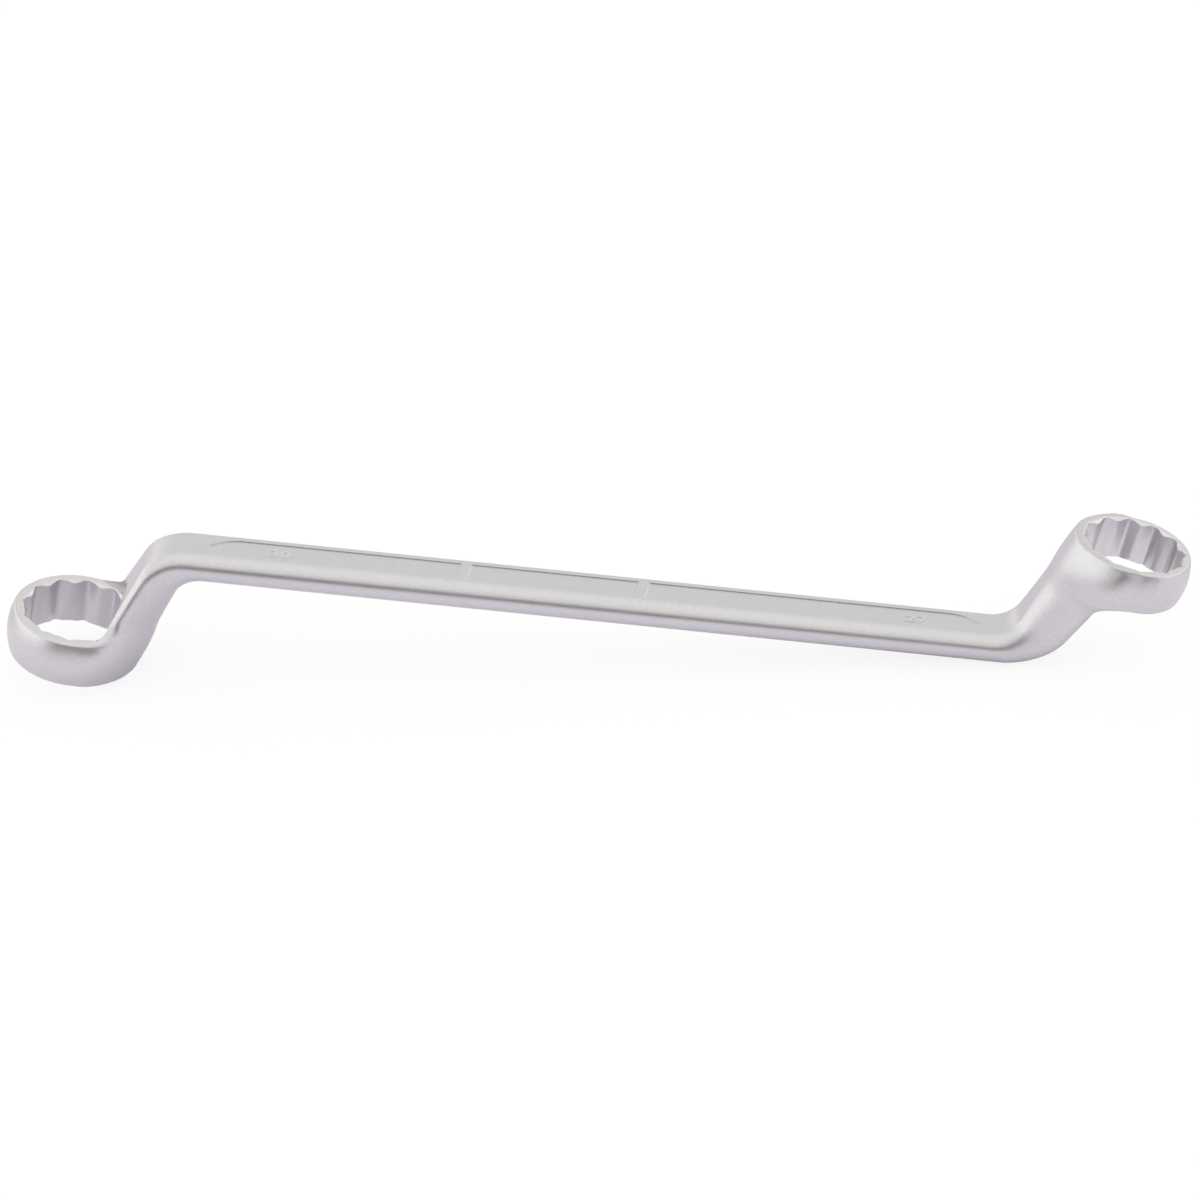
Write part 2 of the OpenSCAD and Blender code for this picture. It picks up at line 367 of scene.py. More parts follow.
def satin_metal(finish):
    """Blasted and plated skin: fine grain all over, with faint clouds of gloss."""

    def wire_up(board, place):
        grain = board.noise(place, scale=2600, detail=1, roughness=0.6)
        dust = board.noise(place, scale=4500, detail=1)
        clouds = board.noise(place, scale=60, detail=3, roughness=0.55)
        fleck = board.ramp(grain, low=0.38, high=0.62)
        dull = board.mix(fleck, toned(finish.satin, 0.93), toned(finish.satin, 1.03))
        bright = board.mix(fleck, toned(finish.satin, 0.97), toned(finish.satin, 1.07))
        tint = board.mix(clouds, dull, bright)
        rough = finish.satin_rough - 0.04 + clouds * 0.05 + grain * 0.03
        return tint, rough, board.bump(grain * 0.7 + dust * 0.3, finish.grain_depth)

    return metal("blasted_chrome", wire_up)


def socket_metal(finish, lean):
    """Broached wall: fine scores along the socket's axis."""

    def wire_up(board, place):
        upright = board.node("Mapping", None, {"Vector": place, "Rotation": (0, -lean, 0)})
        drawn = board.node("Mapping", None, {"Vector": upright, "Scale": (1, 1, 0.03)})
        scores = board.noise(drawn, scale=2600, detail=3, roughness=0.6)
        bands = board.noise(drawn, scale=500)
        grain = board.noise(place, scale=3000, roughness=0.6)
        tint = varied(board, bands, finish.socket, spread=0.07)
        rough = finish.satin_rough - 0.02 + bands * 0.06
        return tint, rough, board.bump(scores * 0.7 + grain * 0.3, finish.grain_depth * 0.8)

    return metal("broached_chrome", wire_up)


def face_metal(finish):
    """Milled ring face or rubbed number: smoother than the skin, under the same plating."""

    def wire_up(board, place):
        grain = board.noise(place, scale=3000, roughness=0.6)
        clouds = board.noise(place, scale=120)
        tint = varied(board, clouds, finish.face, spread=0.03)
        rough = finish.satin_rough - 0.05 + clouds * 0.05
        return tint, rough, board.bump(grain, finish.grain_depth * 0.5)

    return metal("milled_chrome", wire_up)


# Distance fields. All lengths from here to the pieces are in millimetres.


def soft_min(a, b, width):
    """Smaller of two distances, with a fillet where they differ by less than width."""
    near = np.clip(1 - np.abs(a - b) / width, 0, None)
    return np.minimum(a, b) - near * near * width / 4


def soft_max(a, b, width):
    """Larger of two distances, with a rounding where they differ by less than width."""
    return -soft_min(-a, -b, width)


def rounded_corner(p, q, radius):
    """Distance to a corner whose two sides lie at p = radius and q = radius."""
    return np.minimum(np.maximum(p, q), 0) + np.hypot(np.maximum(p, 0), np.maximum(q, 0)) - radius


def oval_corner(p, q, wide, deep, fullness):
    """Distance to a corner rounded by a quarter of a full oval, whose middle is at p = q = 0."""
    p, q = np.maximum(p, 0) / wide, np.maximum(q, 0) / deep
    least = 1e-3
    reach = np.maximum((p ** fullness + q ** fullness) ** (1 / fullness), least)
    rate = np.hypot((p / reach) ** (fullness - 1) / wide, (q / reach) ** (fullness - 1) / deep)
    return np.where(reach > 2 * least, (reach - 1) / np.maximum(rate, 1e-9), -np.minimum(wide, deep))


def smooth(t):
    """Eases from 0 to 1."""
    t = np.clip(t, 0, 1)
    return t * t * (3 - 2 * t)


def rounded_wedge(x, z, level, corner, slope, bend):
    """Distance above a level line and left of a slope, joined by a bend. It is 0 on that line."""
    above = z - level
    left = above * math.cos(slope) - (x - corner) * math.sin(slope)
    from_x = x - (corner - bend * math.tan(slope / 2))
    from_z = above - bend
    along_slope = from_x / math.sin(slope)
    along_level = -from_z - along_slope * math.cos(slope)
    in_bend = (along_slope > 0) & (along_level > 0)
    return np.where(in_bend, bend - np.hypot(from_x, from_z), np.minimum(above, left))


class End:
    """One end of the forging in its own frame: the shank lies along X, and the ring at +X and up."""

    CREASE = math.radians(70.5)
    FLANK_END = math.radians(140)
    FLANK_RISE = 8
    FLANK_FADE = 3
    LEAST_HALF = 1

    def __init__(self, own, name):
        for key, value in own.items():
            setattr(self, key.removeprefix(name + "_"), value)
        self.name = name
        self.corner_r = self.across_flats / math.sqrt(3)
        self.ring_r = self.corner_r + self.wall
        self.hollow_r = self.corner_r + self.hollow_wall
        self.edge_z = self.height / 2 - self.edge_round
        self.barrel_r = self.ring_r - self.wall_round
        self.edge_r = self.barrel_r + math.sqrt((self.wall_round - self.edge_round) ** 2 - self.edge_z ** 2)
        self.across = np.array([math.cos(self.ring_tilt), 0, -math.sin(self.ring_tilt)])
        self.axis = np.array([math.sin(self.ring_tilt), 0, math.cos(self.ring_tilt)])
        self.middle = np.array([self.ring_span / 2, 0, self.ring_offset])
        half_t, half_h = self.shank_thick / 2, self.height / 2
        self.inner_corner = self.corner_at(self.root_in - self.ring_r, half_h, self.inner_slope, half_t)
        self.outer_corner = self.corner_at(-self.root_out, -half_h, self.outer_slope, -half_t)
        self.inner_start = self.inner_corner - self.inner_bend * math.tan(self.inner_slope / 2)
        self.outer_start = self.outer_corner - self.outer_bend * math.tan(self.outer_slope / 2)
        self.shank_end = min(self.inner_start, self.outer_start)

    def corner_at(self, across, height, slope, level):
        """X where a neck's side, drawn back from this place in the ring, meets the shank's face."""
        at = self.place(np.array([across]), np.array([0.0]), np.array([height]))[0]
        return at[0] - (at[2] - level) / math.tan(slope)

    def place(self, a, y, b):
        """Points from the ring's frame: across, Y and along its axis."""
        points = self.middle + np.asarray(a)[..., None] * self.across + np.asarray(b)[..., None] * self.axis
        points[..., 1] += y
        return points

    def ring_coordinates(self, points):
        """Radius, turn and height of points in the ring's frame."""
        away = points - self.middle
        a = away @ self.across
        return np.hypot(a, away[..., 1]), np.arctan2(away[..., 1], a), away @ self.axis

    def flank_depth(self, turn):
        """Depth ground off the ring's wall: it starts at a crease on each flank and fades at the neck."""
        t = (np.abs(turn) - self.CREASE) / (self.FLANK_END - self.CREASE)
        t = np.clip(t, 0, 1)
        return self.flank * (1 - (1 - t) ** self.FLANK_RISE) * (1 - t ** self.FLANK_FADE)

    def socket_radius(self, turn):
        """Twelve point outline: two hexagons, with rounded points and corners."""
        half = self.across_flats / 2
        step = math.tau / POINTS
        t = np.mod(turn, step)
        rising = soft_min(half / np.cos(t - step), half / np.cos(t + step), self.point_round)
        falling = soft_min(half / np.cos(t), half / np.cos(t - 2 * step), self.point_round)
        return soft_max(rising, falling, self.point_round)

    def turned(self, x, z):
        """How far the neck's section has turned from flat to round at this place."""
        slope = (self.inner_slope + self.outer_slope) / 2
        along = (x - (self.inner_corner + self.outer_corner) / 2) * math.cos(slope) + z * math.sin(slope)
        return smooth(along / self.belly_end)

    def side_field(self, points):
        """Distance to the neck's sides: the shank's, then planes that run on to the ring's wall."""
        away = points - self.middle
        height = np.clip(away @ self.axis, -self.edge_z, self.edge_z)
        wall = self.barrel_r + np.sqrt(self.wall_round ** 2 - height ** 2) - self.flare_inset
        out = np.abs(points[:, 1])
        plane = out * math.cos(self.flare) - (away @ self.across) * math.sin(self.flare) - wall
        return soft_min(out - self.shank_width / 2, plane, self.flare_ease)

    def neck_field(self, points):
        """Distance to the neck, before it is joined to the ring."""
        x, y, z = points.T
        half = self.shank_thick / 2
        inner = rounded_wedge(x, z, half, self.inner_corner, self.inner_slope, self.inner_bend)
        outer = rounded_wedge(x, z, -half, self.outer_corner, self.outer_slope, self.outer_bend)
        half_t = np.maximum((outer - inner) / 2, self.LEAST_HALF)
        off = (outer + inner) / 2
        side = self.side_field(points)
        half_w = np.abs(y) - side
        ridge = ROUND_SHARE * np.minimum(half, half_t)
        turned = self.turned(x, z)
        belly = ridge + (half_w - ridge) * self.belly * turned
        fullness = 2 + self.fullness * turned
        up = off + half_t - ridge
        bar = np.where(
            up > 0,
            oval_corner(side + belly, up, belly, 2 * half_t - ridge, fullness),
            rounded_corner(side + ridge, -up, ridge),
        )
        far, _, height = self.ring_coordinates(points)
        over = -self.height / 2 - height
        hollow = self.hollow_r - math.tan(self.hollow_taper) * np.clip(over, 0, None) - far
        bar = soft_max(bar, hollow * math.cos(self.hollow_taper), self.ridge_round)
        return soft_max(bar, height - (self.height / 2 - self.brim_gap), self.brim_round)

    def ring_field(self, points):
        """Distance to the ring, before its socket is cut."""
        far, turn, height = self.ring_coordinates(points)
        far = far + self.flank_depth(turn)
        height = np.abs(height)
        wall = np.hypot(far - self.barrel_r, height) - self.wall_round
        edge = np.hypot(far - self.edge_r, height - self.edge_z) - self.edge_round
        on_wall = (far - self.barrel_r) * self.edge_z > height * (self.edge_r - self.barrel_r)
        on_face = far < self.edge_r
        face = np.maximum(height - self.height / 2, wall)
        return np.where(on_face, face, np.where(on_wall, wall, edge))

    def field(self, points):
        """Distance to the forging, with a wide fillet on the shank's side of the ring."""
        height = self.ring_coordinates(points)[2]
        t = smooth((self.height / 2 - height) / self.height)
        spread = self.crown + (self.root_fillet - self.crown) * t
        joined = soft_min(self.neck_field(points), self.ring_field(points), spread)
        return np.maximum(joined, height - self.height / 2)


def gradient(field, points, step=0.02):
    """Slope of a field at each point."""
    out = np.empty_like(points)
    for i in range(3):
        shift = np.zeros(3)
        shift[i] = step
        out[:, i] = (field(points + shift) - field(points - shift)) / (2 * step)
    return out


def onto(field, points, steps=6, along=None):
    """Moves points onto the surface where the field is 0, down its slope or along one direction."""
    points = points.copy()
    for _ in range(steps):
        slope = gradient(field, points)
        way = slope if along is None else np.broadcast_to(along, points.shape)
        rate = np.einsum("ij,ij->i", slope, way)
        move = field(points) / np.copysign(np.maximum(np.abs(rate), LEAST_RATE), rate)
        reach = np.linalg.norm(way, axis=1)
        points -= (np.clip(move * reach, -MOST_MOVE, MOST_MOVE) / reach)[:, None] * way
    return points


# Grids of the ring, its neck and the shank.


def ring_grid(end):
    """Ring as rows of points in (radius, height), from the socket's work mouth round to it again."""
    turn = math.tau * np.arange(COLUMNS) / COLUMNS
    bore = end.socket_radius(turn)
    half = end.height / 2
    depth = end.flank_depth(np.arctan2(np.sin(turn), np.cos(turn)))
    flat = end.edge_r - depth
    mouth = np.maximum(end.mouth_least, bore.min() + end.mouth_lead - bore)
    mouth = np.minimum(mouth, end.mouth_most * (flat - bore))
    slant = math.asin(end.edge_z / (end.wall_round - end.edge_round))
    rows = []

    def add(radius, height):
        rows.append((radius + 0 * turn, height + 0 * turn))

    def add_arc(middle_r, middle_h, radius, start, stop, count):
        for i in range(1, count + 1):
            a = start + (stop - start) * i / count
            add(middle_r + radius * math.cos(a), middle_h + radius * math.sin(a))

    for i in range(SOCKET_ROWS + 1):
        add(bore, (half - mouth) * (1 - 2 * i / SOCKET_ROWS))
    for i in range(1, MOUTH_ROWS + 1):
        add(bore + mouth * i / MOUTH_ROWS, mouth * (1 - i / MOUTH_ROWS) - half)
    for i in range(1, FACE_ROWS):
        add(bore + mouth + (flat - bore - mouth) * i / (FACE_ROWS - 1), -half)
    # The window starts from a row just round the face's edge, turned by this many radians.
    nudge = 0.1
    add_arc(flat, -end.edge_z, end.edge_round, -math.pi / 2, nudge - math.pi / 2, 1)
    step_row = len(rows) - 1
    add_arc(flat, -end.edge_z, end.edge_round, nudge - math.pi / 2, -slant, ROUND_ROWS)
    add_arc(end.barrel_r - depth, 0, end.wall_round, -slant, slant, WALL_ROWS[end.name])
    add_arc(flat, end.edge_z, end.edge_round, slant, math.pi / 2, ROUND_ROWS)
    crown_row = len(rows) - 1
    for i in range(1, FACE_ROWS + 1):
        add(flat + (bore + mouth - flat) * i / FACE_ROWS, half)
    for i in range(1, MOUTH_ROWS):
        add(bore + mouth * (1 - i / MOUTH_ROWS), half - mouth * i / MOUTH_ROWS)
    radius, height = (np.array(values) for values in zip(*rows))
    points = end.place(radius * np.cos(turn), radius * np.sin(turn), height)
    return points, step_row, crown_row


def window(step_row):
    """Rows and columns of the window in a ring's grid, in order round it, from its top edge."""
    top = step_row + WINDOW_ROWS
    return np.array(
        [(top, c) for c in range(WINDOW_FIRST, WINDOW_LAST)]
        + [(r, WINDOW_LAST) for r in range(top, step_row, -1)]
        + [(step_row, c) for c in range(WINDOW_LAST, WINDOW_FIRST, -1)]
        + [(r, WINDOW_FIRST) for r in range(step_row, top)]
    )


def stretch(half_flat, radius, count):
    """One side of a rounded outline, between the middles of its two corners: along and out."""
    half = half_flat + radius * math.pi / 4
    s = np.linspace(-half, half, count + 1)[:-1]
    bent = np.clip(np.abs(s) - half_flat, 0, None) / radius
    along = np.sign(s) * (np.minimum(np.abs(s), half_flat) + radius * np.sin(bent))
    return along, radius * np.cos(bent)


def section(half_w, half_t):
    """Outline across a bar in (Y, thickness): its top, near side, underside and far side."""
    radius = ROUND_SHARE * min(half_w, half_t)
    flat_w, flat_t = half_w - radius, half_t - radius
    face, face_out = stretch(flat_w, radius, WINDOW_COLUMNS)
    side, side_out = stretch(flat_t, radius, WINDOW_ROWS)
    top = np.c_[-face, flat_t + face_out]
    near = np.c_[-flat_w - side_out, -side]
    under = np.c_[face, -flat_t - face_out]
    far = np.c_[flat_w + side_out, side]
    return np.vstack([top, near, under, far])


def side_line(end, level, corner, slope, bend, lead):
    """One side of a neck as a line in (X, Z), from the shank's end to below the ring."""
    start = corner - bend * math.tan(slope / 2)
    a = np.linspace(0, slope, BEND_STEPS)
    arc = np.c_[start + bend * np.sin(a), level + bend * (1 - np.cos(a))]
    way = np.array([math.cos(slope), 0, math.sin(slope)])
    base = np.array([corner, 0, level])
    reach = (lead - (base - end.middle) @ end.axis) / (way @ end.axis)
    stop = base + reach * way
    # An arc that starts at the shank's end would repeat that point.
    repeated = int(start < end.shank_end + 1e-6)
    return along_line(np.vstack([[end.shank_end, level], arc[repeated:], stop[[0, 2]]]), BEND_SECTIONS)


def along_line(line, count):
    """Points at equal steps along a line."""
    run = np.r_[0, np.cumsum(np.linalg.norm(np.diff(line, axis=0), axis=1))]
    at = np.linspace(0, run[-1], count + 1)
    return np.c_[np.interp(at, run, line[:, 0]), np.interp(at, run, line[:, 1])]


def neck_grid(end, edge):
    """Neck as sections of points, from the shank's end to the window's edge on the ring."""
    half = end.shank_thick / 2
    lead = -end.height / 2 - ROOT_LEAD
    inner = side_line(end, half, end.inner_corner, end.inner_slope, end.inner_bend, lead)
    outer = side_line(end, -half, end.outer_corner, end.outer_slope, end.outer_bend, lead)
    sections = []
    for i in range(BEND_SECTIONS + 1):
        middle, way = (inner[i] + outer[i]) / 2, inner[i] - outer[i]
        thick = np.linalg.norm(way)
        half_w = -end.side_field(np.array([[middle[0], 0, middle[1]]]))[0]
        out = section(half_w, thick / 2)
        flat = middle + out[:, 1:] * way / thick
        sections.append(np.c_[flat[:, 0], out[:, 0], flat[:, 1]])
    last = sections[-1]
    for i in range(1, ROOT_SECTIONS + 1):
        t = i / ROOT_SECTIONS
        sections.append(last * (1 - t) + edge * t)
    return settle_neck(end, np.array(sections))


def settle_neck(end, grid):
    """Spreads the neck's points evenly over the forging's surface. Both ends stay put."""
    count, around, _ = grid.shape
    ease = smooth((np.arange(count) / BEND_SECTIONS - RELAX_FROM) / (1 - RELAX_FROM))[1:-1, None, None]

    def project(steps):
        inside = grid[1:-1].reshape(-1, 3)
        grid[1:-1] = onto(end.field, inside, steps).reshape(count - 2, around, 3)

    project(steps=6)
    for _ in range(RELAX_STEPS):
        mean = (grid[:-2] + grid[2:] + np.roll(grid, 1, 1)[1:-1] + np.roll(grid, -1, 1)[1:-1]) / 4
        grid[1:-1] += RELAX_SHARE * ease * (mean - grid[1:-1])
        project(steps=1)
    project(steps=4)
    return grid


class Skin:
    """Points of one end: the ring's grid, the window in it, which the neck covers, and the neck's grid."""

    SUNK_WALL = 0.5
    SUNK_HEIGHT = 0.9

    def __init__(self, end):
        self.end = end
        self.ring, self.step_row, self.crown_row = ring_grid(end)
        self.window = window(self.step_row)
        rows = slice(self.step_row + 1, self.step_row + WINDOW_ROWS)
        self.inside = rows, slice(WINDOW_FIRST + 1, WINDOW_LAST)
        plain = self.ring[self.inside].copy()
        flat = slice(self.step_row, self.step_row + 1)
        self.ring[flat] = self.moved(self.ring[flat], -end.axis)
        wall = slice(self.step_row + 1, self.crown_row)
        self.ring[wall] = self.moved(self.ring[wall])
        self.ring[self.inside] = self.sunk(plain)
        self.neck = neck_grid(end, self.ring[self.window[:, 0], self.window[:, 1]])

    def moved(self, points, along=None):
        """Points of the ring's grid, put onto the forging's surface."""
        return onto(self.end.field, points.reshape(-1, 3), steps=8, along=along).reshape(points.shape)

    def sunk(self, points):
        """The ring's plain points, drawn into the metal."""
        far, turn, height = self.end.ring_coordinates(points)
        middle = (self.end.corner_r + self.end.ring_r) / 2
        far = middle + (far - middle) * self.SUNK_WALL
        return self.end.place(far * np.cos(turn), far * np.sin(turn), height * self.SUNK_HEIGHT)


# Pieces


def quads(index):
    """Quads over a grid of point numbers."""
    corners = index[:-1, :-1], index[:-1, 1:], index[1:, 1:], index[1:, :-1]
    return [tuple(quad) for quad in np.stack(corners, -1).reshape(-1, 4).tolist()]


def tube(rows, columns, closed_rows=False):
    """Quads over rows of points that go round a tube, which can also be closed on itself."""
    index = np.arange(rows * columns).reshape(rows, columns)
    return quads(np.pad(index, ((0, int(closed_rows)), (0, 1)), "wrap"))


def outward(points, faces):
    """The faces, all turned round if the closed shape's volume comes out negative."""
    volume = 0.0
    for f in faces:
        for i in range(1, len(f) - 1):
            volume += np.dot(points[f[0]], np.cross(points[f[i]], points[f[i + 1]]))
    return faces if volume > 0 else [f[::-1] for f in faces]


def stance(small, large):
    """Turn, lift and slide that stand the spanner on its large ring's edge and its small end's bend."""
    edge = -large.middle + large.edge_r * large.across - large.edge_z * large.axis
    bend = np.array([small.outer_start, 0, small.outer_bend - small.shank_thick / 2])
    between = bend - edge
    run = math.hypot(between[0], between[2])
    lean = math.asin((small.outer_bend - small.edge_round) / run)
    turn = math.atan2(between[2], between[0]) - lean
    lift = large.edge_round + edge[0] * math.sin(turn) - edge[2] * math.cos(turn)
    tilt = turn + small.ring_tilt

    def half(end):
        return end.wall_round + end.barrel_r * math.cos(tilt)

    slide = (half(large) - half(small)) / 2
    return Matrix.Translation((slide, 0, lift)) @ Matrix.Rotation(turn, 4, "Y")


def metres(way):
    """The same way for points in metres."""
    moved = way.copy()
    moved.translation = way.translation * MM
    return moved


class Forging:
    """The whole forging: both ends and the way that each is put into the part's frame."""

    def __init__(self, own):
        self.small, self.large = (End(own, name) for name in ENDS)
        stand = stance(self.small, self.large)
        self.ways = {"small": stand, "large": stand @ Matrix.Rotation(math.pi, 4, "Y")}
        self.lean = stand.to_euler().y + self.small.ring_tilt
        self.skins = {end.name: Skin(end) for end in (self.small, self.large)}


MADE = {}


def forging(context):
    """The forging for the scene's sizes, worked out once for each set of them."""
    own = plain_sizes(context.scene.spanner_sizes)
    key = tuple(own.values())
    if key not in MADE:
        MADE[key] = Forging(own)
    return MADE[key]


def new_mesh(name, points, faces, way):
    """A closed mesh from millimetre points, put into the part's frame in metres and kept in its box."""
    points = np.asarray(points, float)
    turned = outward(points, faces)
    mesh = bpy.data.meshes.new(name)
    matrix = np.array(way)
    placed = (points @ matrix[:3, :3].T + matrix[:3, 3]) * MM
    placed = np.clip(placed, np.array(CAD_BOX[0]), np.array(CAD_BOX[1]))
    mesh.from_pydata(placed.tolist(), [], turned)
    mesh.update()
    if mesh.validate():
        raise RuntimeError(f"{name} has broken faces")
    return mesh


def new_object(name, data):
    """An object in the scene."""
    made = bpy.data.objects.new(name, data)
    bpy.context.scene.collection.objects.link(made)
    return made


def baked(context, made):
    """A mesh of an object as its modifiers or its text leave it."""
    context.view_layer.update()
    return bpy.data.meshes.new_from_object(made.evaluated_get(context.evaluated_depsgraph_get()))


def new_piece(name, mesh, nodes):
    """A piece of the forging, which stands for CAD nodes."""
    piece = new_object(name, mesh)
    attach(piece, BODY)
    if nodes:
        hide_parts(*nodes)
    return piece


def shade(mesh, sharp=35):
    """Smooth shading, with edges sharper than this left crisp."""
    mesh.shade_smooth()
    mesh.set_sharp_from_angle(angle=math.radians(sharp))


def read(items, key):
    """One vector of each item, as rows of numbers."""
    values = np.empty(len(items) * 3)
    items.foreach_get(key, values)
    return values.reshape(-1, 3)


def shade_as_forging(mesh, end, way, skin_faces):
    """Takes the normals of the skin's faces from the whole forging, so that no seam shows between pieces."""
    normals = read(mesh.corner_normals, "vector")
    matrix = np.array(way)
    own = (read(mesh.vertices, "co") / MM - matrix[:3, 3]) @ matrix[:3, :3]
    slope = gradient(end.field, own)
    slope /= np.linalg.norm(slope, axis=1)[:, None]
    slope = slope @ matrix[:3, :3].T
    for polygon in mesh.polygons:
        if not skin_faces[polygon.index]:
            continue
        for loop in polygon.loop_indices:
            normal = slope[mesh.loops[loop].vertex_index]
            if np.dot(normal, normals[loop]) > SAME_WAY:
                normals[loop] = normal
    mesh.normals_split_custom_set(normals.tolist())


class SPANNER_OT_rings(Operator):
    """Makes the two rings with their twelve point sockets"""

    bl_idname = "spanner.rings"
    bl_label = "Rings"
    SKIN, FACE, BORE = range(3)

    def execute(self, context):
        whole = forging(context)
        finish = context.scene.spanner_finish
        for name, skin in whole.skins.items():
            rows, columns, _ = skin.ring.shape
            faces = tube(rows, columns, closed_rows=True)
            mesh = new_mesh(f"ring_{name}_body", skin.ring.reshape(-1, 3), faces, whole.ways[name])
            for material in (satin_metal(finish), face_metal(finish), socket_metal(finish, whole.lean)):
                mesh.materials.append(material)
            row = np.arange(len(faces)) // columns
            kind = np.where(row < SOCKET_ROWS, self.BORE, self.FACE)
            kind[(row >= skin.step_row) & (row < skin.crown_row)] = self.SKIN
            mesh.polygons.foreach_set("material_index", kind)
            shade(mesh)
            shade_as_forging(mesh, skin.end, whole.ways[name], kind == self.SKIN)
            new_piece(mesh.name, mesh, [f"ring_{name}"])
        return {"FINISHED"}


class SPANNER_OT_necks(Operator):
    """Makes the two necks between the shank and the rings"""

    bl_idname = "spanner.necks"
    bl_label = "Necks"

    def execute(self, context):
        whole = forging(context)
        for name, skin in whole.skins.items():
            sections, around, _ = skin.neck.shape
            points = skin.neck.reshape(-1, 3)
            faces = tube(sections, around)
            shown = len(faces)
            faces.append(tuple(range(around - 1, -1, -1)))
            faces += self.patch(skin, len(points) - around, len(points))
            points = np.vstack([points, skin.ring[skin.inside].reshape(-1, 3)])
            mesh = new_mesh(f"neck_{name}_body", points, faces, whole.ways[name])
            mesh.materials.append(satin_metal(context.scene.spanner_finish))
            shade(mesh)
            shade_as_forging(mesh, skin.end, whole.ways[name], np.arange(len(faces)) < shown)
            new_piece(mesh.name, mesh, [f"neck_{name}"])
        return {"FINISHED"}

    def patch(self, skin, edge_from, inner_from):
        """Quads that close the neck over the ring's wall, inside the window."""
        index = np.empty((WINDOW_ROWS + 1, WINDOW_COLUMNS + 1), int)
        rows, columns = (skin.window - (skin.step_row, WINDOW_FIRST)).T
        index[rows, columns] = edge_from + np.arange(len(rows))
        inner = index[1:-1, 1:-1]
        inner[:] = inner_from + np.arange(inner.size).reshape(inner.shape)
        return quads(index.T)


def panel_outline(whole, panel, grow, land_grow):
    """Outline of one panel, anticlockwise: a lens tip towards a ring, and slanted ends at the lands."""
    bar = whole.small
    half = bar.panel_width / 2 + grow
    tip = bar.panel_tip + grow
    slant = math.tan(bar.land_slant)
    gap = bar.land_width / math.cos(bar.land_slant) / 2 - land_grow
    radius = (tip * tip + half * half) / (2 * half)
    a = np.linspace(0, math.asin(tip / radius), TIP_POINTS)
    run, drop = radius * np.sin(a), radius * (1 - np.cos(a))

    def slanted(x):
        return [(x - half * slant, -half), (x + half * slant, half)]

    if panel == "middle":
        low_left, high_left = slanted(whole.large.land_at + gap)
        low_right, high_right = slanted(whole.small.land_at - gap)
        return [low_left, low_right, high_right, high_left]
    # The panel by the large ring is laid out like the one by the small ring, and turned round.
    end, way = (whole.large, -1) if panel == "large" else (whole.small, 1)
    stop = min(bar.panel_reach, end.shank_end - bar.panel_margin) + grow
    turn = [(stop - tip + r, d - half) for r, d in zip(run, drop)]
    low, high = slanted(way * end.land_at + gap)
    outline = [high, low] + turn + [(x, -y) for x, y in turn[-2::-1]]
    return [(way * x, way * y) for x, y in outline]


class SPANNER_OT_marks(Operator):
    """Makes the raised size numbers in the outer panels"""

    bl_idname = "spanner.marks"
    bl_label = "Size numbers"

    def execute(self, context):
        whole = forging(context)
        sizes = context.scene.spanner_sizes
        floor = whole.small.shank_thick / 2 - whole.small.panel_depth
        for name, end in zip(ENDS, (whole.small, whole.large)):
            words = bpy.data.curves.new(f"mark_{name}", "FONT")
            words.body = f"{end.across_flats:.0f}"
            words.align_x, words.align_y = "CENTER", "CENTER"
            words.size = sizes.mark_height / sizes.mark_capital
            words.extrude = sizes.mark_rise / 2
            words.bevel_depth = sizes.mark_rise / 4
            words.bevel_resolution = 2
            holder = new_object(f"mark_{name}", words)
            mesh = baked(context, holder)
            bpy.data.objects.remove(holder)
            bpy.data.curves.remove(words)
            if not mesh.polygons:
                raise RuntimeError(f"mark_{name} has no faces")
            stretch_x = Matrix.Diagonal((sizes.mark_stretch, 1, 1, 1))
            to_floor = Matrix.Translation((end.mark_at * MM, sizes.mark_aside, floor * MM))
            mesh.transform(metres(whole.ways["small"]) @ to_floor @ stretch_x)
            mesh.materials.clear()
            mesh.materials.append(face_metal(context.scene.spanner_finish))
            shade(mesh)
            new_piece(f"mark_{name}", mesh, [])
        return {"FINISHED"}


